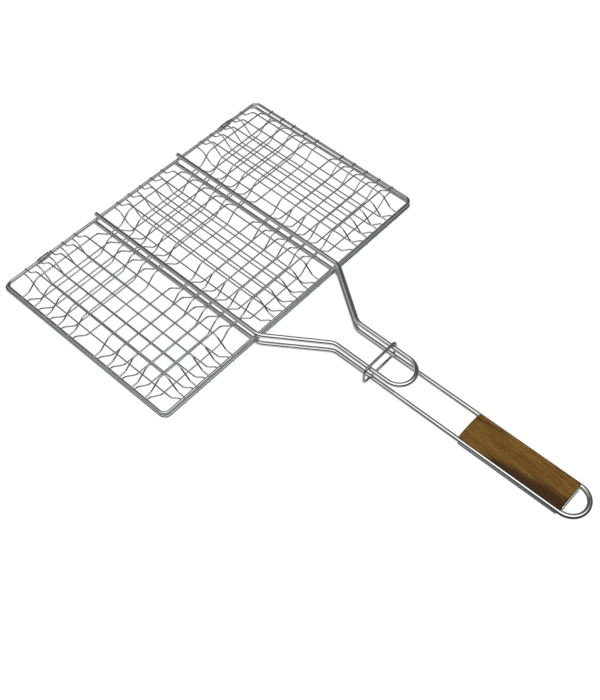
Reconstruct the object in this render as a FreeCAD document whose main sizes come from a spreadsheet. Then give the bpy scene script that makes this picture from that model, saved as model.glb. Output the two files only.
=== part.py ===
import FreeCAD, Part
import math
import os
import Sketcher

# Hinged wire grill basket.  Millimetres.  +Z up, +X along the basket's long edge, +Y from the
# handle towards the hinge.  The origin is on the ground, under the middle of the bounding box.
# Each half is built in its own frame: the centre of its rectangular border wire at the origin and
# the pocket bulging towards +Z.  The lower half is that same shape turned over about Y.

doc = FreeCAD.newDocument("GrillBasket")

SIZES = [
    ("frame_length", 337.0, "border wire, along X, centre to centre"),
    ("frame_depth", 217.0, "lower border wire, along Y, centre to centre"),
    ("upper_depth", 211.2, "upper border wire, along Y, centre to centre"),
    ("frame_wire", 3.0, "diameter of the border wires"),
    ("frame_bend", 6.0, "bend radius at the border corners, on the centreline"),
    ("hinge_set", 5.4, "upper back wire stands this far in front of the lower one"),
    ("hinge_gap", 7.4, "height from the lower back wire to the upper one"),
    ("front_gap", 4.7, "height from the lower front wire to the upper one"),
    ("mesh_wire", 1.5, "diameter of the mesh wires"),
    ("mesh_over", 0.9, "mesh wires end this far beyond the border centreline"),
    ("mesh_bend", 7.0, "bend radius of the mesh wires, on the centreline"),
    ("edge_flat", 7.0, "flat stretch of a mesh wire inside the border"),
    ("ramp_run", 12.0, "length of a ramp, seen from above"),
    ("pocket_rise", 10.0, "rise of a cross wire from the border to the pocket floor"),
    ("rod_flat", 8.0, "half the flat stretch of a cross wire under a handle rod"),
    ("cross_pitch", 16.1, "pitch of the cross wires"),
    ("cross_gap", 34.0, "wide gap between the two groups of cross wires"),
    ("side_first", 23.5, "from the border to the first long wire of a side column"),
    ("side_pitch", 14.9, "pitch of the long wires in the side columns"),
    ("middle_pitch", 15.0, "pitch of the long wires in the middle column"),
    ("rod_wire", 4.5, "diameter of the handle rods"),
    ("rod_spread", 55.0, "from the middle to a handle rod where it crosses the basket"),
    ("rod_over", 3.2, "handle rods end this far behind the back wire"),
    ("neck_start", 111.0, "bend where the rods turn inwards, from the basket centre"),
    ("neck_end", 167.3, "bend where the legs become parallel"),
    ("neck_bend", 15.0, "radius of both neck bends, on the centreline"),
    ("leg_spread", 15.75, "from the middle to a parallel leg"),
    ("upper_tip", 243.2, "far end of the upper handle, on the centreline"),
    ("lower_tip", 424.0, "far end of the hanging loop, on the centreline"),
    ("tip_bend", 15.6, "radius of both handle ends, on the centreline"),
    ("ring_wire", 2.5, "diameter of the lock ring wire"),
    ("ring_reach", 21.75, "half the length of the lock ring, on the centreline"),
    ("ring_height", 19.0, "lock ring height, centreline to centreline"),
    ("ring_play", 0.35, "the lock ring's top bar clears the upper legs by this"),
    ("ring_aside", 1.5, "the lock ring hangs this far to the left of the middle"),
    ("ring_bend", 5.0, "corner radius of the lock ring, on the centreline"),
    ("ring_place", 208.0, "from the basket centre to the lock ring"),
    ("grip_front", 305.5, "front end of the wooden grip, at its corners"),
    ("grip_length", 102.5, "length of the wooden grip, at its corners"),
    ("grip_width", 32.0, "width of the wooden grip"),
    ("grip_above", 4.0, "grip top above the leg centres"),
    ("grip_below", 4.4, "grip underside below the leg centres"),
    ("grip_groove", 2.3, "radius of the grooves that take the legs"),
    ("grip_crown", 0.7, "how far the middle of the grip's front end stands forward"),
    ("grip_round", 1.4, "rounding of the grip's long top edges"),
    ("plate_sheet", 0.8, "thickness of the plate under the grip"),
    ("plate_width", 34.0, "width of the plate under the grip"),
    ("lip_height", 7.2, "height of the plate's upturned lip"),
    ("lip_width", 27.0, "width of the plate's upturned lip"),
    ("clip_sheet", 0.8, "thickness of the hinge clips"),
    ("clip_play", 0.15, "radial play of a border wire in a hinge clip"),
    ("clip_width", 11.0, "length of a hinge clip along X"),
]

sheet = doc.addObject("Spreadsheet::Sheet", "Sizes")
for row, (alias, value, note) in enumerate(SIZES, start=1):
    sheet.set("A%d" % row, alias)
    sheet.set("B%d" % row, str(value))
    sheet.set("C%d" % row, note)
    sheet.setAlias("B%d" % row, alias)
doc.recompute()


class Dim:
    """A size with its number and the sheet formula that gives it."""

    def __init__(self, value, formula):
        self.value = value
        self.formula = formula

    def combine(self, other, sign, value):
        other = as_dim(other)
        return Dim(value(self.value, other.value), "(%s %s %s)" % (self.formula, sign, other.formula))

    def __add__(self, other):
        return self.combine(other, "+", lambda a, b: a + b)

    def __sub__(self, other):
        return self.combine(other, "-", lambda a, b: a - b)

    def __mul__(self, other):
        return self.combine(other, "*", lambda a, b: a * b)

    def __truediv__(self, other):
        return self.combine(other, "/", lambda a, b: a / b)

    def __neg__(self):
        return Dim(-self.value, "(0 - %s)" % self.formula)


def as_dim(number):
    return number if isinstance(number, Dim) else Dim(float(number), "%s" % number)


size = {alias: Dim(value, "Sizes.%s" % alias) for alias, value, note in SIZES}
ZERO = as_dim(0)

# Heights above the border centreline, in a half's own frame.
mesh_seat = (size["frame_wire"] + size["mesh_wire"]) / 2
rod_seat = (size["frame_wire"] + size["rod_wire"]) / 2
cross_dip = rod_seat - (size["rod_wire"] + size["mesh_wire"]) / 2
pocket_top = mesh_seat + size["pocket_rise"] + size["mesh_wire"] * 1.5

# Where the halves stand in the part's frame.
ground_to_lower = pocket_top.value
back_end = size["frame_depth"].value / 2 + size["rod_over"].value
front_end = -size["lower_tip"].value - size["rod_wire"].value / 2
basket_y = -(back_end + front_end) / 2

LOWER = FreeCAD.Placement(FreeCAD.Vector(0, basket_y, ground_to_lower),
                          FreeCAD.Rotation(FreeCAD.Vector(0, 1, 0), 180))
UPRIGHT = FreeCAD.Placement(FreeCAD.Vector(0, basket_y, ground_to_lower), FreeCAD.Rotation())

fall = size["hinge_gap"].value - size["front_gap"].value
tilt = math.asin(fall / size["upper_depth"].value)
hinge_y = size["frame_depth"].value / 2 - size["hinge_set"].value
upper_y = hinge_y - size["upper_depth"].value / 2 * math.cos(tilt)
upper_z = (size["hinge_gap"].value + size["front_gap"].value) / 2
UPPER = FreeCAD.Placement(FreeCAD.Vector(0, basket_y + upper_y, ground_to_lower + upper_z),
                          FreeCAD.Rotation(FreeCAD.Vector(1, 0, 0), math.degrees(tilt)))

parts = []


def new_body(label, placement):
    body = doc.addObject("PartDesign::Body", label)
    body.Label = label
    body.Placement = placement
    parts.append(body)
    return body


def new_sketch(body, plane, name):
    sketch = body.newObject("Sketcher::SketchObject", name)
    for feature in body.Origin.OriginFeatures:
        if feature.Role == plane:
            sketch.AttachmentSupport = [(feature, "")]
    sketch.MapMode = "FlatFace"
    return sketch


def bind(sketch, constraint, dim):
    """Adds a constraint that the sheet drives."""
    index = sketch.addConstraint(constraint)
    sketch.setExpression("Constraints[%d]" % index, dim.formula)


def pin(sketch, geometry, point, place):
    """Holds one point of the sketch at a place that the sheet gives."""
    across, along = place
    for kind, axis, dim in (("DistanceX", -2, across), ("DistanceY", -1, along)):
        if dim is ZERO:
            sketch.addConstraint(Sketcher.Constraint("PointOnObject", geometry, point, axis))
        else:
            bind(sketch, Sketcher.Constraint(kind, -1, 1, geometry, point, dim.value), dim)


def vector(place):
    return FreeCAD.Vector(place[0].value, place[1].value, 0)


def bent_path(sketch, places, bends, closed=False):
    """Straight runs through the places, with a tangent arc of its own radius at each bend."""
    points = [vector(place) for place in places]
    count = len(points)
    corners = range(1, count) if closed else range(1, count - 1)
    cuts = {}
    for i in corners:
        here, before, after = points[i], points[i - 1], points[(i + 1) % count]
        back, ahead = (before - here).normalize(), (after - here).normalize()
        reach = bends[i - 1].value / math.tan(back.getAngle(ahead) / 2)
        middle = (back + ahead).normalize()
        centre = here + middle * math.hypot(reach, bends[i - 1].value)
        cuts[i] = (here + back * reach, here + ahead * reach, centre)
    runs = []
    for i in range(count if closed else count - 1):
        last = (i + 1) % count
        start = cuts[i][1] if i in cuts else points[i]
        end = cuts[last][0] if last in cuts else points[last]
        runs.append(sketch.addGeometry(Part.LineSegment(start, end), False))
    for i in corners:
        start, end, centre = cuts[i]
        middle = centre + (points[i] - centre).normalize() * bends[i - 1].value
        arc = sketch.addGeometry(Part.Arc(start, middle, end), False)
        first = 1 if sketch.getPoint(arc, 1).distanceToPoint(start) < 1e-6 else 2
        sketch.addConstraint(Sketcher.Constraint("Tangent", runs[i - 1], 2, arc, first))
        sketch.addConstraint(Sketcher.Constraint("Tangent", arc, 3 - first, runs[i], 1))
        bind(sketch, Sketcher.Constraint("Radius", arc, bends[i - 1].value), bends[i - 1])
        corner = sketch.addGeometry(Part.Point(points[i]), True)
        sketch.addConstraint(Sketcher.Constraint("PointOnObject", corner, 1, runs[i - 1]))
        sketch.addConstraint(Sketcher.Constraint("PointOnObject", corner, 1, runs[i]))
        pin(sketch, corner, 1, places[i])
    pin(sketch, runs[0], 1, places[0])
    if closed:
        sketch.addConstraint(Sketcher.Constraint("Coincident", runs[-1], 2, runs[0], 1))
    else:
        pin(sketch, runs[-1], 2, places[-1])


def wire_piece(label, placement, path_plane, profile_plane, places, bends, wire, closed=False):
    """One bent wire: a round section, at the body's origin, swept along the path."""
    body = new_body(label, placement)
    path = new_sketch(body, path_plane, "Path_" + label)
    bent_path(path, places, bends, closed)
    section = new_sketch(body, profile_plane, "Section_" + label)
    circle = section.addGeometry(
        Part.Circle(FreeCAD.Vector(), FreeCAD.Vector(0, 0, 1), wire.value / 2), False)
    section.addConstraint(Sketcher.Constraint("Coincident", circle, 3, -1, 1))
    bind(section, Sketcher.Constraint("Diameter", circle, wire.value), wire)
    pipe = body.newObject("PartDesign::AdditivePipe", "Wire_" + label)
    pipe.Profile = section
    pipe.Spine = path
    pipe.Mode = "Standard"
    return body


def local(half, x, y, z):
    """A place in a half's own frame, with that frame's turn kept."""
    return half * FreeCAD.Placement(FreeCAD.Vector(x, y, z), FreeCAD.Rotation())


# --- border wires ---------------------------------------------------------------------------


def border(label, half, depth):
    """A closed rectangle of wire that starts in the middle of its front side."""
    reach = size["frame_length"] / 2
    places = [(ZERO, ZERO), (reach, ZERO), (reach, depth), (-reach, depth), (-reach, ZERO)]
    wire_piece(label, local(half, 0, -depth.value / 2, 0), "XY_Plane", "YZ_Plane", places,
               [size["frame_bend"]] * 4, size["frame_wire"], closed=True)


border("lower_frame", UPRIGHT, size["frame_depth"])
border("upper_frame", UPPER, size["upper_depth"])

# --- mesh wires -----------------------------------------------------------------------------

start_flat = size["mesh_over"] + size["edge_flat"]


def long_wire(label, half, x, depth):
    """Runs from the front border to the back border, one wire outside the cross wires."""
    total = depth + size["mesh_over"] * 2
    floor = size["pocket_rise"] + size["mesh_wire"]
    climbed = start_flat + size["ramp_run"]
    places = [(ZERO, ZERO), (start_flat, ZERO), (climbed, floor),
              (total - climbed, floor), (total - start_flat, ZERO), (total, ZERO)]
    spot = local(half, x, -total.value / 2, mesh_seat.value)
    wire_piece(label, spot, "YZ_Plane", "XZ_Plane", places, [size["mesh_bend"]] * 4, size["mesh_wire"])


def cross_wire(label, half, y):
    """Runs from side to side and dips under both handle rods, which makes three pockets."""
    total = size["frame_length"] + size["mesh_over"] * 2
    floor = size["pocket_rise"]
    dip = cross_dip - mesh_seat
    climbed = start_flat + size["ramp_run"]
    places = [(ZERO, ZERO), (start_flat, ZERO), (climbed, floor)]
    for side in (-1, 1):
        rod = total / 2 + size["rod_spread"] * side
        level = size["rod_flat"]
        fall = level + size["ramp_run"]
        places += [(rod - fall, floor), (rod - level, dip), (rod + level, dip), (rod + fall, floor)]
    places += [(total - climbed, floor), (total - start_flat, ZERO), (total, ZERO)]
    spot = local(half, -total.value / 2, y, mesh_seat.value)
    bends = [size["mesh_bend"]] * (len(places) - 2)
    wire_piece(label, spot, "XZ_Plane", "YZ_Plane", places, bends, size["mesh_wire"])


def column_places():
    """X of the fifteen long wires, from left to right."""
    border_x = size["frame_length"].value / 2
    outer = [border_x - size["side_first"].value - size["side_pitch"].value * i for i in range(5)]
    middle = [size["middle_pitch"].value * (i - 2) for i in range(5)]
    return sorted([-x for x in outer] + middle + outer)


def row_places():
    """Y of the ten cross wires, from the front to the back."""
    rows = [size["cross_gap"].value / 2 + size["cross_pitch"].value * i for i in range(5)]
    return sorted([-y for y in rows] + rows)


for side, half, depth, turned in (("lower", LOWER, size["frame_depth"], -1),
                                  ("upper", UPPER, size["upper_depth"], 1)):
    for number, x in enumerate(column_places(), start=1):
        long_wire("%s_long_wire_%02d" % (side, number), half, x * turned, depth)
    for number, y in enumerate(row_places(), start=1):
        cross_wire("%s_cross_wire_%02d" % (side, number), half, y)

# --- handles --------------------------------------------------------------------------------


def handle(label, half, height, depth, forward, tip):
    """A rod bent like a hairpin: two rods over the basket, a neck, two legs and a round end.

    The half's own centre stands this far forward of the basket's centre, from which the bends
    are measured.
    """
    across = size["rod_spread"]
    leg_in = across - size["leg_spread"]
    leg_out = across + size["leg_spread"]
    start = depth / 2 + size["rod_over"]
    neck, legs, end = [forward - start - bend for bend in (size["neck_start"], size["neck_end"], tip)]
    places = [(ZERO, ZERO), (ZERO, neck), (leg_in, legs), (leg_in, end),
              (leg_out, end), (leg_out, legs), (across * 2, neck), (across * 2, ZERO)]
    bends = [size["neck_bend"]] * 2 + [size["tip_bend"]] * 2 + [size["neck_bend"]] * 2
    spot = local(half, -across.value, start.value, height)
    wire_piece(label, spot, "XY_Plane", "XZ_Plane", places, bends, size["rod_wire"])


forward = size["hinge_set"] - (size["frame_depth"] - size["upper_depth"]) / 2
handle("lower_handle", UPRIGHT, -rod_seat.value, size["frame_depth"], ZERO, size["lower_tip"])
handle("upper_handle", UPPER, rod_seat.value, size["upper_depth"], forward, size["upper_tip"])

# --- lock ring ------------------------------------------------------------------------------

leg_top = UPPER.multVec(FreeCAD.Vector(0, -size["ring_place"].value - upper_y, rod_seat.value)).z
bar_top = leg_top + (size["rod_wire"].value + size["ring_wire"].value) / 2 + size["ring_play"].value
ring_x, ring_z = size["ring_reach"], size["ring_height"]
ring_places = [(ZERO, ZERO), (ring_x, ZERO), (ring_x, ring_z), (-ring_x, ring_z), (-ring_x, ZERO)]
ring_y = basket_y - size["ring_place"].value
ring_spot = FreeCAD.Placement(
    FreeCAD.Vector(-size["ring_aside"].value, ring_y, bar_top - ring_z.value), FreeCAD.Rotation())
wire_piece("lock_ring", ring_spot, "XZ_Plane", "YZ_Plane", ring_places,
           [size["ring_bend"]] * 4, size["ring_wire"], closed=True)

# --- wooden grip and its plate --------------------------------------------------------------


def polygon(sketch, places):
    """A closed outline of straight sides, every corner held by the sheet."""
    points = [vector(place) for place in places]
    sides = []
    for i, point in enumerate(points):
        sides.append(sketch.addGeometry(Part.LineSegment(point, points[(i + 1) % len(points)]), False))
    for i, side in enumerate(sides):
        after = sides[(i + 1) % len(sides)]
        sketch.addConstraint(Sketcher.Constraint("Coincident", side, 2, after, 1))
        pin(sketch, side, 1, places[i])


def pad(body, sketch, length, name, middle=False, back=False):
    feature = body.newObject("PartDesign::Pad", name)
    feature.Profile = sketch
    feature.setExpression("Length", length.formula)
    feature.Midplane = middle
    feature.Reversed = back
    return feature


leg_height = ground_to_lower - rod_seat.value
grip_end = size["grip_front"] + size["grip_length"]
grip_spot = FreeCAD.Placement(
    FreeCAD.Vector(0, basket_y - grip_end.value, leg_height), FreeCAD.Rotation())


def wooden_grip():
    """A flat board between the legs: grooved sides, a crowned front end, a square rear end."""
    body = new_body("grip", grip_spot)
    half = size["grip_width"] / 2
    outline = new_sketch(body, "XY_Plane", "GripOutline")
    rear_left, rear_right = vector((-half, ZERO)), vector((half, ZERO))
    front_right, front_left = vector((half, size["grip_length"])), vector((-half, size["grip_length"]))
    crown = vector((ZERO, size["grip_length"] + size["grip_crown"]))
    rear = outline.addGeometry(Part.LineSegment(rear_left, rear_right), False)
    right = outline.addGeometry(Part.LineSegment(rear_right, front_right), False)
    front = outline.addGeometry(Part.Arc(front_right, crown, front_left), False)
    left = outline.addGeometry(Part.LineSegment(front_left, rear_left), False)
    for one, two in ((rear, right), (right, front), (front, left), (left, rear)):
        outline.addConstraint(Sketcher.Constraint("Coincident", one, 2, two, 1))
    pin(outline, rear, 1, (-half, ZERO))
    pin(outline, rear, 2, (half, ZERO))
    pin(outline, right, 2, (half, size["grip_length"]))
    pin(outline, left, 1, (-half, size["grip_length"]))
    top = outline.addGeometry(Part.Point(crown), True)
    outline.addConstraint(Sketcher.Constraint("PointOnObject", top, 1, front))
    pin(outline, top, 1, (ZERO, size["grip_length"] + size["grip_crown"]))
    thickness = size["grip_above"] + size["grip_below"]
    board = pad(body, outline, thickness, "GripBoard")
    outline.setExpression("AttachmentOffset.Base.z", (-size["grip_below"]).formula)
    doc.recompute()
    edges = [
        "Edge%d" % i for i, edge in enumerate(board.Shape.Edges, start=1)
        if edge.BoundBox.ZMin > size["grip_above"].value - 0.01 and edge.BoundBox.XLength < 0.01
    ]
    rounding = body.newObject("PartDesign::Fillet", "GripRounding")
    rounding.Base = (board, edges)
    rounding.setExpression("Radius", size["grip_round"].formula)
    doc.recompute()
    grooves = new_sketch(body, "XZ_Plane", "GripGrooves")
    for side in (-1, 1):
        spot = (size["leg_spread"] * side, ZERO)
        groove = grooves.addGeometry(
            Part.Circle(vector(spot), FreeCAD.Vector(0, 0, 1), size["grip_groove"].value), False)
        pin(grooves, groove, 3, spot)
        radius = size["grip_groove"]
        bind(grooves, Sketcher.Constraint("Radius", groove, radius.value), radius)
    cut = body.newObject("PartDesign::Pocket", "GripGrooveCut")
    cut.Profile = grooves
    cut.Type = "ThroughAll"
    cut.Midplane = True


def grip_plate():
    """A thin steel plate under the grip, turned up over the wood's rear end."""
    body = new_body("grip_plate", grip_spot)
    below, sheet_t = -size["grip_below"], size["plate_sheet"]
    base = new_sketch(body, "XY_Plane", "PlateOutline")
    half = size["plate_width"] / 2
    length = size["grip_length"]
    polygon(base, [(-half, -sheet_t), (half, -sheet_t), (half, length), (-half, length)])
    base.setExpression("AttachmentOffset.Base.z", (below - sheet_t).formula)
    pad(body, base, sheet_t, "PlateBase")
    lip = new_sketch(body, "XZ_Plane", "LipOutline")
    reach = size["lip_width"] / 2
    low, high = below - sheet_t, below + size["lip_height"]
    polygon(lip, [(-reach, low), (reach, low), (reach, high), (-reach, high)])
    pad(body, lip, sheet_t, "PlateLip")


wooden_grip()
grip_plate()

# --- hinge clips ----------------------------------------------------------------------------


def hinge_clip(label, x):
    """A band rolled round both back wires; the upper wire turns in it."""
    body = new_body(label, local(UPRIGHT, x, size["frame_depth"].value / 2, 0))
    inner = size["frame_wire"] / 2 + size["clip_play"]
    rise = FreeCAD.Vector(-size["hinge_set"].value, size["hinge_gap"].value, 0)
    profile = new_sketch(body, "YZ_Plane", "Band_" + label)
    aside = FreeCAD.Vector(rise.y, -rise.x, 0).normalize()
    for radius in (inner, inner + size["clip_sheet"]):
        r = radius.value
        down, up = -FreeCAD.Vector(rise).normalize() * r, rise + FreeCAD.Vector(rise).normalize() * r
        right = profile.addGeometry(Part.LineSegment(aside * r, rise + aside * r), False)
        top = profile.addGeometry(Part.Arc(rise + aside * r, up, rise - aside * r), False)
        left = profile.addGeometry(Part.LineSegment(rise - aside * r, -aside * r), False)
        bottom = profile.addGeometry(Part.Arc(-aside * r, down, aside * r), False)
        ring = (right, top, left, bottom)
        for i, one in enumerate(ring):
            profile.addConstraint(Sketcher.Constraint("Tangent", one, 2, ring[(i + 1) % 4], 1))
        profile.addConstraint(Sketcher.Constraint("Coincident", bottom, 3, -1, 1))
        pin(profile, top, 3, (-size["hinge_set"], size["hinge_gap"]))
        bind(profile, Sketcher.Constraint("Radius", bottom, r), radius)
    pad(body, profile, size["clip_width"], "Clip_" + label, middle=True)


columns = column_places()
hinge_clip("hinge_clip_left", (columns[1] + columns[2]) / 2)
hinge_clip("hinge_clip_right", (columns[-2] + columns[-3]) / 2)

# --- check and write ------------------------------------------------------------------------

doc.recompute()
for thing in doc.Objects:
    if "Invalid" in thing.State or "Error" in thing.State:
        raise RuntimeError("%s failed: %s" % (thing.Name, thing.State))
for body in parts:
    if body.Shape.isNull() or not body.Shape.isValid() or len(body.Shape.Solids) != 1:
        raise RuntimeError("%s has no sound solid" % body.Label)

os.makedirs("parts", exist_ok=True)
for body in parts:
    body.Shape.exportStep("parts/%s.step" % body.Label)
    print("%-22s %9.1f mm3" % (body.Label, body.Shape.Volume))
print("%d parts, basket centre at y = %.3f, lower frame at z = %.3f" %
      (len(parts), basket_y, ground_to_lower))
print("hinge axis at y = %.3f, z = %.3f, tilt %.3f deg" %
      (basket_y + hinge_y, ground_to_lower + size["hinge_gap"].value, math.degrees(tilt)))
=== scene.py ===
"""Looks of a hinged wire grill basket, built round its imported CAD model.  Metres, +Z up."""
import math

import bmesh
import bpy
from mathutils import Matrix, Quaternion, Vector


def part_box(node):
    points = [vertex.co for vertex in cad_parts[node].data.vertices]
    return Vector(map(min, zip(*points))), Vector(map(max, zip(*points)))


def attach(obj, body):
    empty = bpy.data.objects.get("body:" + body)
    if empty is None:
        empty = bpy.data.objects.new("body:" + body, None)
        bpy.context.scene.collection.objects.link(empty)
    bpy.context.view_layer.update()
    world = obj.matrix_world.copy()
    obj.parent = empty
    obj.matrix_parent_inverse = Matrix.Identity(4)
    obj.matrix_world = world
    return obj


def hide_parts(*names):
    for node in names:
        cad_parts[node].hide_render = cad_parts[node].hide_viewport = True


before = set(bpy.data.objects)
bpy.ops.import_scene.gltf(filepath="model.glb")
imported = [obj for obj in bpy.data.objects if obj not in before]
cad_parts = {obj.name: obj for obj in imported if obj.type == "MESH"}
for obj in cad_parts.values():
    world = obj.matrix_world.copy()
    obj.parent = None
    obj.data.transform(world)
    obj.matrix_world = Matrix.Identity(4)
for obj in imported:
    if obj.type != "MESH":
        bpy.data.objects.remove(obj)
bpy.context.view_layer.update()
MM = 0.001

# Sizes that the boxes of the CAD nodes don't give.
EDGE_FLAT = 7 * MM          # flat stretch of a mesh wire inside the border
RAMP_RUN = 12 * MM          # length of a ramp, seen from above
ROD_FLAT = 8 * MM           # half the flat stretch of a cross wire under a handle rod
MESH_BEND = 7 * MM
BORDER_BEND = 6 * MM
NECK_BEND = 15 * MM
NECK_START = 111 * MM       # from the basket's centre to the bend where the rods turn inwards
NECK_END = 167.3 * MM       # and to the bend where the legs become parallel
LEG_SPREAD = 15.75 * MM     # from the middle to a parallel leg
TIP_BEND = 15.6 * MM
RING_BEND = 5 * MM
SHEET = 0.8 * MM            # of the hinge clips and the grip's plate
LONG_WIRES = 15
CROSS_WIRES = 10


def node_middle(node):
    low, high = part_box(node)
    return (low + high) / 2


def node_size(node):
    low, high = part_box(node)
    return high - low


BORDER_WIRE = node_size("lower_frame").z
MESH_WIRE = node_size("lower_long_wire_01").x
ROD_WIRE = node_size("lower_handle").z
RING_WIRE = node_size("lock_ring").y
MESH_SEAT = (BORDER_WIRE + MESH_WIRE) / 2
ROD_SEAT = (BORDER_WIRE + ROD_WIRE) / 2
CROSS_DIP = ROD_SEAT - (ROD_WIRE + MESH_WIRE) / 2
CROSS_FLOOR = MESH_SEAT + node_size("lower_cross_wire_01").z - MESH_WIRE - (MESH_SEAT - CROSS_DIP)
LONG_FLOOR = CROSS_FLOOR + MESH_WIRE
ROD_SPREAD = (node_size("lower_handle").x - ROD_WIRE) / 2
BASKET_Y = node_middle("lower_frame").y


class Half:
    """One half in its own frame: the middle of its border at the origin, its pocket towards +Z."""

    def __init__(self, name, body, side):
        self.name = name
        self.body = body
        size = node_size(name + "_frame") - Vector.Fill(3, BORDER_WIRE)
        self.length = size.x
        self.depth = math.hypot(size.y, size.z)
        tilt = math.atan2(size.z, size.y)
        middle = node_middle(name + "_frame")
        self.forward = BASKET_Y - middle.y
        lean = Matrix.Rotation(tilt, 4, "X")
        self.frame = Matrix.Translation(middle) @ lean @ Matrix.Scale(side, 4, (0, 0, 1))

    def place(self, x, y, z):
        return self.frame @ Vector((x, y, z))


LOWER = Half("lower", "lower_half", -1)
UPPER = Half("upper", "upper_half", 1)
HALVES = (LOWER, UPPER)
COLUMNS = [node_middle("upper_long_wire_%02d" % i).x for i in range(1, LONG_WIRES + 1)]
ROWS = [node_middle("lower_cross_wire_%02d" % i).y - BASKET_Y for i in range(1, CROSS_WIRES + 1)]
MESH_OVER = (node_size("lower_cross_wire_01").x - LOWER.length) / 2
ROD_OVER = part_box("lower_handle")[1].y - (BASKET_Y + LOWER.depth / 2)


# --- helpers --------------------------------------------------------------------------------


def add_node(tree, kind, settings=None, **values):
    """Adds a node; values are its inputs, by name or as _number, and sockets given as values are linked."""
    node = tree.nodes.new(kind)
    for key, value in (settings or {}).items():
        setattr(node, key, value)
    for name, value in values.items():
        socket = node.inputs[int(name[1:])] if name[0] == "_" else node.inputs[name.replace("_", " ")]
        if isinstance(value, bpy.types.NodeSocket):
            tree.links.new(value, socket)
        else:
            socket.default_value = value
    return node


def new_group(name, kind, inputs, outputs):
    """A node group with named sockets, and its input and output nodes."""
    tree = bpy.data.node_groups.new(name, kind)
    for direction, sockets in (("INPUT", inputs), ("OUTPUT", outputs)):
        for label, socket_type in sockets:
            tree.interface.new_socket(label, in_out=direction, socket_type="NodeSocket" + socket_type)
    return tree, tree.nodes.new("NodeGroupInput").outputs, tree.nodes.new("NodeGroupOutput").inputs


def freeze(piece):
    """Applies the piece's modifiers to its mesh."""
    evaluated = piece.evaluated_get(bpy.context.evaluated_depsgraph_get())
    mesh = bpy.data.meshes.new_from_object(evaluated)
    piece.modifiers.clear()
    piece.data = mesh


def run_tree(piece, tree, **values):
    """Runs a geometry tree on a piece and keeps the result as a plain mesh."""
    modifier = piece.modifiers.new(tree.name, "NODES")
    modifier.node_group = tree
    for item in tree.interface.items_tree:
        key = item.name.replace(" ", "_")
        if item.in_out == "INPUT" and key in values:
            modifier[item.identifier] = values[key]
    freeze(piece)
    piece.data.name = piece.name
    return piece


def mesh_piece(name, points, edges=(), faces=()):
    mesh = bpy.data.meshes.new(name)
    mesh.from_pydata([tuple(point) for point in points], edges, faces)
    piece = bpy.data.objects.new(name, mesh)
    bpy.context.scene.collection.objects.link(piece)
    return piece


def settle(piece, body, nodes=()):
    """Says which body the piece rides on and what it stands for."""
    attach(piece, body)
    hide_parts(*nodes)


def ease_edges(piece, width, segments):
    """Adds a bevel to the piece's sharp edges."""
    bevel = piece.modifiers.new("edge", "BEVEL")
    bevel.width, bevel.segments = width, segments
    bevel.limit_method, bevel.angle_limit = "ANGLE", math.radians(50)


# --- geometry trees -------------------------------------------------------------------------


def swept_wire_tree():
    """Round wire swept along edges, each point with its own bend radius and taper."""
    tree, given, result = new_group(
        "swept_wire", "GeometryNodeTree",
        [("Path", "Geometry"), ("Wire Diameter", "Float"), ("Sides", "Int"), ("Bend Steps", "Int"),
         ("Material", "Material")],
        [("Geometry", "Geometry")])
    line = add_node(tree, "GeometryNodeMeshToCurve", Mesh=given["Path"])
    bend = add_node(tree, "GeometryNodeInputNamedAttribute", {"data_type": "FLOAT"}, Name="bend")
    bent = add_node(tree, "GeometryNodeFilletCurve", {"mode": "POLY"}, Curve=line.outputs[0],
                    Count=given["Bend Steps"], Radius=bend.outputs[0])
    radius = add_node(tree, "ShaderNodeMath", {"operation": "MULTIPLY"}, _0=given["Wire Diameter"], _1=0.5)
    section = add_node(tree, "GeometryNodeCurvePrimitiveCircle", Resolution=given["Sides"],
                       Radius=radius.outputs[0])
    taper = add_node(tree, "GeometryNodeInputNamedAttribute", {"data_type": "FLOAT"}, Name="taper")
    tube = add_node(tree, "GeometryNodeCurveToMesh", Curve=bent.outputs[0], Profile_Curve=section.outputs[0],
                    Scale=taper.outputs[0], Fill_Caps=True)
    smooth = add_node(tree, "GeometryNodeSetShadeSmooth", Geometry=tube.outputs[0])
    real = add_node(tree, "GeometryNodeRealizeInstances", Geometry=smooth.outputs[0])
    painted = add_node(tree, "GeometryNodeSetMaterial", Geometry=real.outputs[0], Material=given["Material"])
    tree.links.new(painted.outputs[0], result["Geometry"])
    return tree


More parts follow.
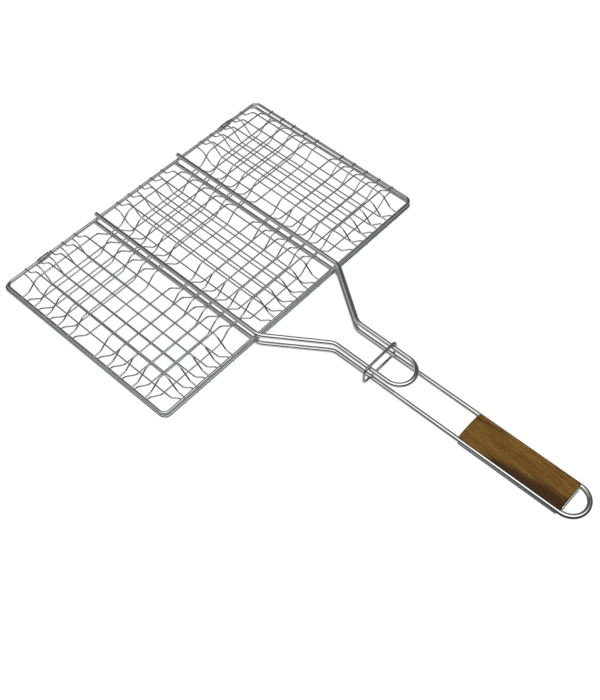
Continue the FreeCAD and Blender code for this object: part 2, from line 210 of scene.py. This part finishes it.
def weld_tree():
    """A flattened bead of its own size at each point, a little longer or shorter each way."""
    tree, given, result = new_group(
        "weld_beads", "GeometryNodeTree",
        [("Points", "Geometry"), ("Flatness", "Float"), ("Unevenness", "Float"), ("Seed", "Int"),
         ("Material", "Material")],
        [("Geometry", "Geometry")])
    bead = add_node(tree, "GeometryNodeMeshUVSphere", Radius=1.0, Segments=8, Rings=5)
    size = add_node(tree, "GeometryNodeInputNamedAttribute", {"data_type": "FLOAT"}, Name="bead")
    least = add_node(tree, "ShaderNodeMath", {"operation": "SUBTRACT"}, _0=1.0, _1=given["Unevenness"])
    most = add_node(tree, "ShaderNodeMath", {"operation": "ADD"}, _0=1.0, _1=given["Unevenness"])
    stretch = []
    for step in range(2):
        seed = add_node(tree, "ShaderNodeMath", {"operation": "ADD"}, _0=given["Seed"], _1=float(step))
        chance = add_node(tree, "FunctionNodeRandomValue", {"data_type": "FLOAT"},
                          _2=least.outputs[0], _3=most.outputs[0], Seed=seed.outputs[0])
        stretch.append(add_node(tree, "ShaderNodeMath", {"operation": "MULTIPLY"},
                                _0=chance.outputs[1], _1=size.outputs[0]).outputs[0])
    height = add_node(tree, "ShaderNodeMath", {"operation": "MULTIPLY"},
                      _0=size.outputs[0], _1=given["Flatness"])
    scale = add_node(tree, "ShaderNodeCombineXYZ", X=stretch[0], Y=stretch[1], Z=height.outputs[0])
    beads = add_node(tree, "GeometryNodeInstanceOnPoints", Points=given["Points"], Instance=bead.outputs[0],
                     Scale=scale.outputs[0])
    real = add_node(tree, "GeometryNodeRealizeInstances", Geometry=beads.outputs[0])
    smooth = add_node(tree, "GeometryNodeSetShadeSmooth", Geometry=real.outputs[0])
    painted = add_node(tree, "GeometryNodeSetMaterial", Geometry=smooth.outputs[0],
                       Material=given["Material"])
    tree.links.new(painted.outputs[0], result["Geometry"])
    return tree


# --- materials ------------------------------------------------------------------------------

SPECK_SCALE, LINE_SCALE = 2600.0, 5200.0     # noise cells per metre
DULL_SHARE = 0.55                            # how far a dulled place goes to the dull colour
LINE_RELIEF = 0.05 * MM
GRAIN_TURN = math.radians(6.5)
WARP_SCALE, WARP_SHARE = 22.0, 0.0035
BAND_SCALE = (330.0, 26.0, 260.0)            # noise cells per metre across, along and through the board
FIBRE_SCALE = (1100.0, 95.0, 1100.0)
PORE_SCALE = (2600.0, 260.0, 2600.0)
STREAK_WANDER = 3 * MM
# Each streak's slope, place across the board and softness, where along the board it begins and is whole,
# and whether it is a wedge, which fills the board to its left.
HEART_STREAKS = ((-0.125, -10 * MM, 3 * MM, 30 * MM, 16 * MM, True),
                 (-0.150, 17 * MM, 2.4 * MM, 14 * MM, 30 * MM, False))
WOOD_LIGHT = (0.225, 0.120, 0.022)
WOOD_BODY = (0.175, 0.088, 0.014)
WOOD_DARK = (0.100, 0.044, 0.007)
WOOD_HEART = (0.034, 0.012, 0.003)


def surface_noise(tree, vector, scale, detail, roughness=0.5):
    return add_node(tree, "ShaderNodeTexNoise", Vector=vector, Scale=scale, Detail=detail,
                    Roughness=roughness).outputs["Fac"]


def spread(tree, value, low, high, to_low, to_high):
    """Stretches a value's range, with its ends held."""
    return add_node(tree, "ShaderNodeMapRange", Value=value, From_Min=low, From_Max=high,
                    To_Min=to_low, To_Max=to_high).outputs[0]


def blend_colour(tree, amount, first, second):
    mix = add_node(tree, "ShaderNodeMix", {"data_type": "RGBA"})
    for socket, value in ((mix.inputs[0], amount), (mix.inputs[6], first), (mix.inputs[7], second)):
        if isinstance(value, bpy.types.NodeSocket):
            tree.links.new(value, socket)
        else:
            socket.default_value = value
    return mix.outputs[2]


def metal_wear_group():
    """Uneven plating: cloudy patches, fine drawing lines and small dull specks."""
    tree, given, result = new_group(
        "metal_wear", "ShaderNodeTree",
        [("Clean", "Color"), ("Dull", "Color"), ("Patch Scale", "Float"), ("Gloss Low", "Float"),
         ("Gloss High", "Float"), ("Line Depth", "Float")],
        [("Color", "Color"), ("Roughness", "Float"), ("Height", "Float")])
    place = add_node(tree, "ShaderNodeTexCoord").outputs["Object"]
    patches = surface_noise(tree, place, given["Patch Scale"], 4.0, 0.6)
    specks = spread(tree, surface_noise(tree, place, SPECK_SCALE, 2.0), 0.62, 0.72, 0.0, 1.0)
    mask = spread(tree, patches, 0.42, 0.68, 0.0, 1.0)
    dulled = add_node(tree, "ShaderNodeMath", {"operation": "MAXIMUM"}, _0=mask, _1=specks).outputs[0]
    some = add_node(tree, "ShaderNodeMath", {"operation": "MULTIPLY"}, _0=dulled, _1=DULL_SHARE).outputs[0]
    colour = blend_colour(tree, some, given["Clean"], given["Dull"])
    gloss = spread(tree, dulled, 0.0, 1.0, given["Gloss Low"], given["Gloss High"])
    lines = surface_noise(tree, place, LINE_SCALE, 2.0)
    height = add_node(tree, "ShaderNodeMath", {"operation": "MULTIPLY"}, _0=lines,
                      _1=given["Line Depth"]).outputs[0]
    for name, socket in (("Color", colour), ("Roughness", gloss), ("Height", height)):
        tree.links.new(socket, result[name])
    return tree


def new_material(name):
    material = bpy.data.materials.new(name)
    material.use_nodes = True
    tree = material.node_tree
    return material, tree, tree.nodes["Principled BSDF"]


def metal(name, clean, dull, patch_scale, gloss_low, gloss_high, line_depth, metallic=1.0):
    """A worn metal: clean and dull colours, and the roughness of its clean and its dull places."""
    material, tree, shader = new_material(name)
    wear = add_node(tree, "ShaderNodeGroup", {"node_tree": METAL_WEAR}, Clean=(*clean, 1.0),
                    Dull=(*dull, 1.0), Patch_Scale=patch_scale, Gloss_Low=gloss_low,
                    Gloss_High=gloss_high, Line_Depth=line_depth)
    bump = add_node(tree, "ShaderNodeBump", Height=wear.outputs["Height"], Distance=LINE_RELIEF)
    shader.inputs["Metallic"].default_value = metallic
    tree.links.new(wear.outputs["Color"], shader.inputs["Base Color"])
    tree.links.new(wear.outputs["Roughness"], shader.inputs["Roughness"])
    tree.links.new(bump.outputs[0], shader.inputs["Normal"])
    return material


def grip_wood():
    """Oiled brown hardwood: the grain runs along Y, turned a few degrees, with fibres and open pores."""
    material, tree, shader = new_material("oiled_wood")
    place = add_node(tree, "ShaderNodeTexCoord").outputs["Object"]
    centre = node_middle("grip")
    local = add_node(tree, "ShaderNodeMapping", Vector=place, Location=tuple(-centre)).outputs[0]
    grain = add_node(tree, "ShaderNodeMapping", Vector=local, Rotation=(0.0, 0.0, GRAIN_TURN)).outputs[0]
    warp = add_node(tree, "ShaderNodeTexNoise", Vector=grain, Scale=WARP_SCALE, Detail=2.0)
    along = add_node(tree, "ShaderNodeMix", {"data_type": "VECTOR"}, _0=WARP_SHARE, _4=grain,
                     _5=warp.outputs["Color"]).outputs[1]
    bands, fibres, pores = (add_node(tree, "ShaderNodeMapping", Vector=along, Scale=scale).outputs[0]
                            for scale in (BAND_SCALE, FIBRE_SCALE, PORE_SCALE))
    band = surface_noise(tree, bands, 1.0, 5.0, 0.68)
    fibre = surface_noise(tree, fibres, 1.0, 3.0, 0.65)
    pore = spread(tree, surface_noise(tree, pores, 1.0, 1.0), 0.60, 0.72, 0.0, 1.0)
    ramp = add_node(tree, "ShaderNodeValToRGB", Fac=band)
    stops = ramp.color_ramp.elements
    stops[0].position, stops[0].color = 0.34, (*WOOD_DARK, 1)
    stops[1].position, stops[1].color = 0.66, (*WOOD_LIGHT, 1)
    middle = stops.new(0.48)
    middle.color = (*WOOD_BODY, 1)
    tinted = blend_colour(tree, spread(tree, fibre, 0.38, 0.66, 0.0, 0.6), ramp.outputs[0], (*WOOD_DARK, 1))
    streaked = blend_colour(tree, heart_streaks(tree, local, band), tinted, (*WOOD_HEART, 1))
    some_pore = add_node(tree, "ShaderNodeMath", {"operation": "MULTIPLY"}, _0=pore, _1=0.7).outputs[0]
    pored = blend_colour(tree, some_pore, streaked, (*WOOD_HEART, 1))
    tree.links.new(pored, shader.inputs["Base Color"])
    tree.links.new(spread(tree, fibre, 0.3, 0.7, 0.40, 0.58), shader.inputs["Roughness"])
    shader.inputs["Specular IOR Level"].default_value = 0.18
    relief = add_node(tree, "ShaderNodeMath", {"operation": "SUBTRACT"}, _0=fibre, _1=pore).outputs[0]
    bump = add_node(tree, "ShaderNodeBump", Height=relief, Distance=0.00008, Strength=0.6)
    tree.links.new(bump.outputs[0], shader.inputs["Normal"])
    return material


def heart_streaks(tree, local, band):
    """Dark heartwood: a wedge along the left edge and a streak by the right edge."""
    axes = add_node(tree, "ShaderNodeSeparateXYZ", Vector=local).outputs
    wander = spread(tree, band, 0.3, 0.7, -STREAK_WANDER, STREAK_WANDER)
    masks = []
    for slope, start, soft, near, far, wedge in HEART_STREAKS:
        edge = add_node(tree, "ShaderNodeMath", {"operation": "MULTIPLY_ADD"}, _0=axes[1], _1=slope,
                        _2=start).outputs[0]
        off = add_node(tree, "ShaderNodeMath", {"operation": "SUBTRACT"}, _0=axes[0], _1=edge).outputs[0]
        bent = add_node(tree, "ShaderNodeMath", {"operation": "ADD"}, _0=off, _1=wander).outputs[0]
        if not wedge:
            bent = add_node(tree, "ShaderNodeMath", {"operation": "ABSOLUTE"}, _0=bent).outputs[0]
        core = spread(tree, bent, -soft if wedge else 0.0, soft, 0.9, 0.0)
        reach = spread(tree, axes[1], near, far, 0.0, 1.0)
        mask = add_node(tree, "ShaderNodeMath", {"operation": "MULTIPLY"}, _0=core, _1=reach)
        masks.append(mask.outputs[0])
    return add_node(tree, "ShaderNodeMath", {"operation": "MAXIMUM"}, _0=masks[0], _1=masks[1]).outputs[0]


METAL_WEAR = metal_wear_group()
SWEPT_WIRE = swept_wire_tree()
WELD_BEADS = weld_tree()
ROD_METAL = metal("plated_rod", (0.74, 0.76, 0.74), (0.56, 0.58, 0.56), 60.0, 0.05, 0.15, 0.2)
BORDER_METAL = metal("plated_border", (0.60, 0.63, 0.61), (0.44, 0.47, 0.45), 70.0, 0.06, 0.18, 0.2)
MESH_METAL = metal("plated_wire", (0.57, 0.61, 0.59), (0.37, 0.41, 0.39), 90.0, 0.05, 0.15, 0.3)
RING_METAL = metal("plated_ring", (0.40, 0.41, 0.43), (0.28, 0.28, 0.30), 120.0, 0.07, 0.2, 0.3)
CLIP_METAL = metal("rolled_clip", (0.42, 0.41, 0.38), (0.22, 0.20, 0.17), 160.0, 0.24, 0.5, 1.0)
PLATE_METAL = metal("satin_plate", (0.74, 0.75, 0.79), (0.58, 0.59, 0.63), 70.0, 0.36, 0.50, 0.8,
                    metallic=0.7)
WELD_METAL = metal("weld_bead", (0.48, 0.47, 0.45), (0.26, 0.23, 0.20), 300.0, 0.2, 0.45, 1.0)
WOOD = grip_wood()


# --- wires ----------------------------------------------------------------------------------

END_TAPER = ((0.0, 0.62), (0.10, 0.84), (0.30, 0.96), (0.6, 1.0))   # distance and size, in radii
MESH_BEAD = 0.95 * MM       # weld beads: where mesh wires cross,
BORDER_BEAD = 1.15 * MM     # where they end on the border,
ROD_BEAD = 1.2 * MM         # where they cross a handle rod
JOINT_BEAD = 2.1 * MM       # and where a rod crosses the border


def rounded_end(tip, inward, radius):
    """Points from a wire's tip inwards, with the sizes that round its cut edge."""
    return [(tip + inward * radius * distance, 0.0, share) for distance, share in END_TAPER]


def open_wire(points, bends, radius):
    """(point, bend, size) along a wire with two rounded ends."""
    first = rounded_end(points[0], (points[1] - points[0]).normalized(), radius)
    last = rounded_end(points[-1], (points[-2] - points[-1]).normalized(), radius)
    inner = [(point, bend, 1.0) for point, bend in zip(points[1:-1], bends)]
    return first + inner + last[::-1]


def point_values(piece, label, values):
    piece.data.attributes.new(label, "FLOAT", "POINT").data.foreach_set("value", values)


def sweep_wires(name, wires, diameter, sides, steps, material, closed=False):
    """One piece made of wires; each wire is a list of (point, bend, size)."""
    points, bends, sizes, edges = [], [], [], []
    for wire in wires:
        start = len(points)
        points += [entry[0] for entry in wire]
        bends += [entry[1] for entry in wire]
        sizes += [entry[2] for entry in wire]
        edges += [(start + i, start + i + 1) for i in range(len(wire) - 1)]
        if closed:
            edges.append((start + len(wire) - 1, start))
    piece = mesh_piece(name, points, edges)
    for label, values in (("bend", bends), ("taper", sizes)):
        point_values(piece, label, values)
    return run_tree(piece, SWEPT_WIRE, Wire_Diameter=diameter, Sides=sides, Bend_Steps=steps,
                    Material=material)


def border(half):
    """The half's rectangular rim, one closed wire."""
    x, y = half.length / 2, half.depth / 2
    corners = [(-x, -y), (x, -y), (x, y), (-x, y)]
    path = [(half.place(px, py, 0), BORDER_BEND, 1.0) for px, py in corners]
    path.insert(1, (half.place(0, -y, 0), 0.0, 1.0))
    piece = sweep_wires(half.name + "_border_wire", [path], BORDER_WIRE, 20, 12, BORDER_METAL, closed=True)
    settle(piece, half.body, [half.name + "_frame"])


def long_wire_path(half, x):
    """From the front border to the back border, outside the cross wires."""
    edge = half.depth / 2
    climb = edge - EDGE_FLAT
    foot = climb - RAMP_RUN
    heights = ((-edge - MESH_OVER, MESH_SEAT), (-climb, MESH_SEAT), (-foot, LONG_FLOOR),
               (foot, LONG_FLOOR), (climb, MESH_SEAT), (edge + MESH_OVER, MESH_SEAT))
    points = [half.place(x, y, z) for y, z in heights]
    return open_wire(points, [MESH_BEND] * 4, MESH_WIRE / 2)


def cross_wire_path(half, y):
    """From side to side, dipping under both handle rods."""
    edge = half.length / 2
    climb = edge - EDGE_FLAT
    foot = climb - RAMP_RUN
    heights = [(-edge - MESH_OVER, MESH_SEAT), (-climb, MESH_SEAT), (-foot, CROSS_FLOOR)]
    for rod in (-ROD_SPREAD, ROD_SPREAD):
        fall = ROD_FLAT + RAMP_RUN
        heights += [(rod - fall, CROSS_FLOOR), (rod - ROD_FLAT, CROSS_DIP),
                    (rod + ROD_FLAT, CROSS_DIP), (rod + fall, CROSS_FLOOR)]
    heights += [(foot, CROSS_FLOOR), (climb, MESH_SEAT), (edge + MESH_OVER, MESH_SEAT)]
    points = [half.place(x, y, z) for x, z in heights]
    return open_wire(points, [MESH_BEND] * (len(points) - 2), MESH_WIRE / 2)


def mesh_wires(half):
    """Two pieces: the wires from front to back, and those from side to side."""
    groups = (("long", COLUMNS, long_wire_path), ("cross", ROWS, cross_wire_path))
    for kind, places, path in groups:
        wires = [path(half, place) for place in places]
        piece = sweep_wires("%s_%s_wires" % (half.name, kind), wires, MESH_WIRE, 12, 6, MESH_METAL)
        nodes = ["%s_%s_wire_%02d" % (half.name, kind, i) for i in range(1, len(places) + 1)]
        settle(piece, half.body, nodes)


def welds(half):
    """Spot welds where wires touch: pocket floor, border and handle rods."""
    x_edge, y_edge = half.length / 2, half.depth / 2
    seat = BORDER_WIRE / 2
    spots = [(x, y, CROSS_FLOOR + MESH_WIRE / 2, MESH_BEAD) for x in COLUMNS for y in ROWS]
    spots += [(x, side * y_edge, seat, BORDER_BEAD) for x in COLUMNS for side in (-1, 1)]
    spots += [(side * x_edge, y, seat, BORDER_BEAD) for y in ROWS for side in (-1, 1)]
    spots += [(side * ROD_SPREAD, y, CROSS_DIP + MESH_WIRE / 2, ROD_BEAD) for y in ROWS for side in (-1, 1)]
    spots += [(sx * ROD_SPREAD, sy * y_edge, seat, JOINT_BEAD) for sx in (-1, 1) for sy in (-1, 1)]
    piece = mesh_piece(half.name + "_welds", [half.place(*spot[:3]) for spot in spots])
    point_values(piece, "bead", [spot[3] for spot in spots])
    run_tree(piece, WELD_BEADS, Flatness=0.5, Unevenness=0.14, Seed=7, Material=WELD_METAL)
    settle(piece, half.body)


def handle(half, tip):
    """Two rods over the basket, a neck, two parallel legs and a round end."""
    start = half.depth / 2 + ROD_OVER
    neck, legs = half.forward - NECK_START, half.forward - NECK_END
    bends = [NECK_BEND, NECK_BEND, TIP_BEND, TIP_BEND, NECK_BEND, NECK_BEND]
    plan = [(-ROD_SPREAD, start), (-ROD_SPREAD, neck), (-LEG_SPREAD, legs), (-LEG_SPREAD, tip),
            (LEG_SPREAD, tip), (LEG_SPREAD, legs), (ROD_SPREAD, neck), (ROD_SPREAD, start)]
    points = [half.place(x, y, ROD_SEAT) for x, y in plan]
    wire = open_wire(points, bends, ROD_WIRE / 2)
    piece = sweep_wires(half.name + "_handle_rod", [wire], ROD_WIRE, 28, 20, ROD_METAL)
    settle(piece, half.body, [half.name + "_handle"])


def handle_tip(half):
    """The place of the handle's end on the half's own Y axis, at the wire's centreline."""
    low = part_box(half.name + "_handle")[0].y + ROD_WIRE / 2
    slope = math.hypot(half.frame[1][1], half.frame[2][1])
    return (low - half.frame.translation.y) / (half.frame[1][1] / slope)


def lock_ring():
    """A closed frame of wire with rounded corners, its butt weld a little swollen on the bottom bar."""
    low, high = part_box("lock_ring")
    middle = (low + high) / 2
    x, z = (high.x - low.x - RING_WIRE) / 2, (high.z - low.z - RING_WIRE) / 2
    seam = 0.2 * x
    swelling = ((-1.2, 1.0), (-0.6, 1.1), (0.0, 1.17), (0.6, 1.1), (1.2, 1.0))
    corner = [(px, pz, RING_BEND, 1.0) for px, pz in ((x, -z), (x, z), (-x, z), (-x, -z))]
    weld = [(seam + step * MM, -z, 0.0, size) for step, size in swelling]
    path = [(middle + Vector((px, 0, pz)), bend, size) for px, pz, bend, size in weld + corner]
    piece = sweep_wires("lock_ring_wire", [path], RING_WIRE, 24, 10, RING_METAL, closed=True)
    settle(piece, "ring", ["lock_ring"])


# --- hinge clips, grip and plate ------------------------------------------------------------

CLIP_PLAY = 0.15 * MM
CLIP_STEPS = 14             # faces round each wire
PLATE_CORNER = 2.5 * MM     # radius, seen from above
PLATE_FOLD = 1.2 * MM       # radius where the lip turns up
LIP_HALF = 13.5 * MM
LIP_CHAMFER = 1 * MM
ARC_STEPS = 6
PLATE_COLUMNS = 9


def hinge_clip(node):
    """A band of sheet rolled round both back wires, its ends meeting at the rear."""
    low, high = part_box(node)
    inner = BORDER_WIRE / 2 + CLIP_PLAY
    outer = inner + SHEET
    bottom = Vector((BASKET_Y + LOWER.depth / 2, node_middle("lower_frame").z))
    top = Vector((low.y + outer, high.z - outer))
    rise = (top - bottom).normalized()
    aside = Vector((rise.y, -rise.x))
    line = []
    for centre, turn in ((top, 0.0), (bottom, math.pi)):
        for i in range(CLIP_STEPS + 1):
            angle = turn + math.pi * i / CLIP_STEPS
            line.append((centre, aside * math.cos(angle) + rise * math.sin(angle)))
    seam = bottom.lerp(top, 0.35)
    line = [(seam, aside)] + line + [(seam, aside)]
    section = [centre + way * radius for radius in (outer, inner) for centre, way in line]
    count, total = len(line), len(section)
    bm = bmesh.new()
    for x in (low.x, high.x):
        for spot in section:
            bm.verts.new((x, spot.x, spot.y))
    bm.verts.ensure_lookup_table()

    def face(*indices):
        bm.faces.new([bm.verts[i] for i in indices])

    for i in range(count - 1):
        face(i, i + 1, total + i + 1, total + i)
        face(count + i, total + count + i, total + count + i + 1, count + i + 1)
        face(i, count + i, count + i + 1, i + 1)
        face(total + i, total + i + 1, total + count + i + 1, total + count + i)
    bmesh.ops.remove_doubles(bm, verts=bm.verts, dist=1e-7)
    bmesh.ops.recalc_face_normals(bm, faces=bm.faces)
    piece = mesh_piece(node + "_band", [])
    bm.to_mesh(piece.data)
    bm.free()
    ease_edges(piece, 0.22 * MM, 3)
    freeze(piece)
    paint(piece, CLIP_METAL)
    settle(piece, "lower_half", [node])


def paint(piece, material):
    """Gives the whole piece one material and smooth shading."""
    piece.data.materials.clear()
    piece.data.materials.append(material)
    for polygon in piece.data.polygons:
        polygon.use_smooth = True
        polygon.material_index = 0


def wooden_grip():
    """The CAD board with its edges sanded soft."""
    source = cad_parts["grip"]
    piece = bpy.data.objects.new("wooden_grip", source.data.copy())
    bpy.context.scene.collection.objects.link(piece)
    bm = bmesh.new()
    bm.from_mesh(piece.data)
    bmesh.ops.remove_doubles(bm, verts=bm.verts, dist=1e-6)
    bm.to_mesh(piece.data)
    bm.free()
    remesh = piece.modifiers.new("fine", "REMESH")
    remesh.mode, remesh.voxel_size = "VOXEL", 0.55 * MM
    smooth = piece.modifiers.new("sanded", "SMOOTH")
    smooth.factor, smooth.iterations = 0.5, 5
    freeze(piece)
    paint(piece, WOOD)
    settle(piece, "lower_half", ["grip"])


def plate_stations(low, high):
    """(y, z, half width) along the middle of the plate's sheet, from its front end to the lip's top."""
    flat, upright = low.z + SHEET / 2, low.y + SHEET / 2
    half = (high.x - low.x) / 2
    quarter = [math.pi / 2 * i / ARC_STEPS for i in range(ARC_STEPS + 1)]
    stations = [(high.y - PLATE_CORNER + PLATE_CORNER * math.cos(angle), flat,
                 half - PLATE_CORNER + PLATE_CORNER * math.sin(angle)) for angle in quarter]
    # The full width ends, its corners are cut, and it steps in to the lip's width.
    stations += [(low.y + 3.2 * MM, flat, half), (low.y + 2.4 * MM, flat, half - 1 * MM),
                 (low.y + 2.2 * MM, flat, LIP_HALF)]
    stations += [(upright + PLATE_FOLD - PLATE_FOLD * math.sin(angle),
                  flat + PLATE_FOLD - PLATE_FOLD * math.cos(angle), LIP_HALF) for angle in quarter]
    return stations + [(upright, high.z - LIP_CHAMFER, LIP_HALF), (upright, high.z, LIP_HALF - LIP_CHAMFER)]


def grip_plate():
    """Thin sheet under the wood, with rounded front corners and a folded lip behind."""
    stations = plate_stations(*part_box("grip_plate"))
    points = []
    for y, z, reach in stations:
        points += [(reach * (2 * j / (PLATE_COLUMNS - 1) - 1), y, z) for j in range(PLATE_COLUMNS)]
    faces = []
    for i in range(len(stations) - 1):
        for j in range(PLATE_COLUMNS - 1):
            a = i * PLATE_COLUMNS + j
            faces.append((a, a + 1, a + PLATE_COLUMNS + 1, a + PLATE_COLUMNS))
    piece = mesh_piece("grip_plate_sheet", points, faces=faces)
    solid = piece.modifiers.new("sheet", "SOLIDIFY")
    solid.thickness, solid.offset = SHEET, 0.0
    ease_edges(piece, 0.2 * MM, 2)
    freeze(piece)
    paint(piece, PLATE_METAL)
    settle(piece, "lower_half", ["grip_plate"])


# --- surroundings ---------------------------------------------------------------------------

# The metal mirrors the pale floor near the basket and a dark room beyond it.
PAPER_EDGE = (0.20, 0.42)       # how far from the basket's middle the fading begins and ends
PAPER_MIRRORED = (0.60, 0.03)   # the floor's strength in mirrors at both
LIGHT_WAY = (-0.22, -0.32)      # the broad light's middle, as a direction's X and Y
LIGHT_EDGE = (0.55, 0.92)       # where it is full and where it ends, as a distance from that
LIGHT_STRENGTH = 1.45
LIGHT_FOOT = (0.60, 0.76)       # sine of the height where the light begins and is whole
FILL_WAY = (-0.60, 0.65, 0.46)  # a weaker light low on the far left
FILL_EDGE = (0.87, 0.94)        # cosines from its middle: none, full
FILL_STRENGTH = 0.40
NEAR_WAY = (-0.75, -0.66, 0.0)  # towards the front left, where the room is darkest
ROOM_TURN = (-0.9, 0.3)         # cosines from that way between which the room gets dimmer
ROOM_DIM = (0.14, 0.012)        # its strength at both


def camera():
    """Looks down from the front left, over the hanging loop's side."""
    azimuth, height = math.radians(-47.897), math.radians(54.236)
    distance = 0.94165
    target = Vector((-0.037855, 0.011439, 0.0145))
    back = Vector((math.sin(azimuth) * math.cos(height), -math.cos(azimuth) * math.cos(height),
                   math.sin(height)))
    data = bpy.data.cameras.new("view")
    data.lens = 54.13
    data.sensor_width = 36.0
    eye = bpy.data.objects.new("view", data)
    eye.location = target + back * distance
    roll = Quaternion((0, 0, 1), math.radians(-0.173))
    eye.rotation_euler = ((-back).to_track_quat("-Z", "Y") @ roll).to_euler()
    bpy.context.scene.collection.objects.link(eye)
    bpy.context.scene.camera = eye


def floor():
    """Plain white to the eye; in the metal it is mirrored dimmer, and dark far from the basket."""
    reach = 4.0
    corners = [(-reach, -reach, 0), (reach, -reach, 0), (reach, reach, 0), (-reach, reach, 0)]
    piece = mesh_piece("floor", corners, faces=[(0, 1, 2, 3)])
    material, tree, shader = new_material("pale_floor")
    shader.inputs["Base Color"].default_value = (0.04, 0.04, 0.04, 1)
    shader.inputs["Roughness"].default_value = 0.9
    shader.inputs["Specular IOR Level"].default_value = 0.0
    shader.inputs["Emission Color"].default_value = (1, 1, 1, 1)
    place = add_node(tree, "ShaderNodeTexCoord").outputs["Object"]
    away = add_node(tree, "ShaderNodeVectorMath", {"operation": "DISTANCE"}, _0=place,
                    _1=(0.0, BASKET_Y, 0.0)).outputs["Value"]
    sheet = spread(tree, away, *PAPER_EDGE, *PAPER_MIRRORED)
    mirrored = add_node(tree, "ShaderNodeLightPath").outputs["Is Glossy Ray"]
    strength = add_node(tree, "ShaderNodeMix", {"data_type": "FLOAT"}, _0=mirrored, _2=1.0, _3=sheet)
    tree.links.new(strength.outputs[0], shader.inputs["Emission Strength"])
    piece.data.materials.append(material)


def studio():
    """A dark room with a broad light overhead; the camera itself sees plain white behind the floor."""
    world = bpy.data.worlds.new("studio")
    bpy.context.scene.world = world
    world.use_nodes = True
    tree = world.node_tree
    tree.nodes.clear()
    way = add_node(tree, "ShaderNodeTexCoord").outputs["Generated"]
    axes = add_node(tree, "ShaderNodeSeparateXYZ", Vector=way).outputs
    flat = add_node(tree, "ShaderNodeCombineXYZ", X=axes[0], Y=axes[1], Z=0.0).outputs[0]
    off = add_node(tree, "ShaderNodeVectorMath", {"operation": "DISTANCE"}, _0=flat, _1=(*LIGHT_WAY, 0.0))
    overhead = add_node(tree, "ShaderNodeMapRange", {"interpolation_type": "SMOOTHSTEP"},
                        Value=off.outputs["Value"], From_Min=LIGHT_EDGE[0], From_Max=LIGHT_EDGE[1],
                        To_Min=LIGHT_STRENGTH, To_Max=0.0).outputs[0]
    above = spread(tree, axes[2], *LIGHT_FOOT, 0.0, 1.0)
    overhead = add_node(tree, "ShaderNodeMath", {"operation": "MULTIPLY"}, _0=overhead, _1=above).outputs[0]
    facing = add_node(tree, "ShaderNodeVectorMath", {"operation": "DOT_PRODUCT"}, _0=way, _1=NEAR_WAY)
    dim = spread(tree, facing.outputs["Value"], *ROOM_TURN, *ROOM_DIM)
    aside = add_node(tree, "ShaderNodeVectorMath", {"operation": "DOT_PRODUCT"}, _0=way, _1=FILL_WAY)
    fill = spread(tree, aside.outputs["Value"], *FILL_EDGE, 0.0, FILL_STRENGTH)
    room = add_node(tree, "ShaderNodeMath", {"operation": "ADD"}, _0=dim, _1=fill).outputs[0]
    light = add_node(tree, "ShaderNodeMath", {"operation": "ADD"}, _0=room, _1=overhead).outputs[0]
    seen = add_node(tree, "ShaderNodeLightPath").outputs["Is Camera Ray"]
    strength = add_node(tree, "ShaderNodeMix", {"data_type": "FLOAT"}, _0=seen, _2=light, _3=1.0).outputs[0]
    background = add_node(tree, "ShaderNodeBackground", Color=(0.985, 1.0, 0.99, 1), Strength=strength)
    add_node(tree, "ShaderNodeOutputWorld", Surface=background.outputs[0])
    lamp = bpy.data.lights.new("softbox", "AREA")
    lamp.shape, lamp.size, lamp.size_y, lamp.energy = "RECTANGLE", 1.6, 1.6, 22.0
    box = bpy.data.objects.new("softbox", lamp)
    box.location = (0.3, 0.5, 1.7)
    box.rotation_euler = (-box.location).to_track_quat("-Z", "Y").to_euler()
    box.visible_glossy = False
    bpy.context.scene.collection.objects.link(box)
    bpy.context.scene.view_settings.view_transform = "Standard"


camera()
floor()
studio()
for half in HALVES:
    border(half)
    mesh_wires(half)
    welds(half)
    handle(half, handle_tip(half))
lock_ring()
hinge_clip("hinge_clip_left")
hinge_clip("hinge_clip_right")
wooden_grip()
grip_plate()
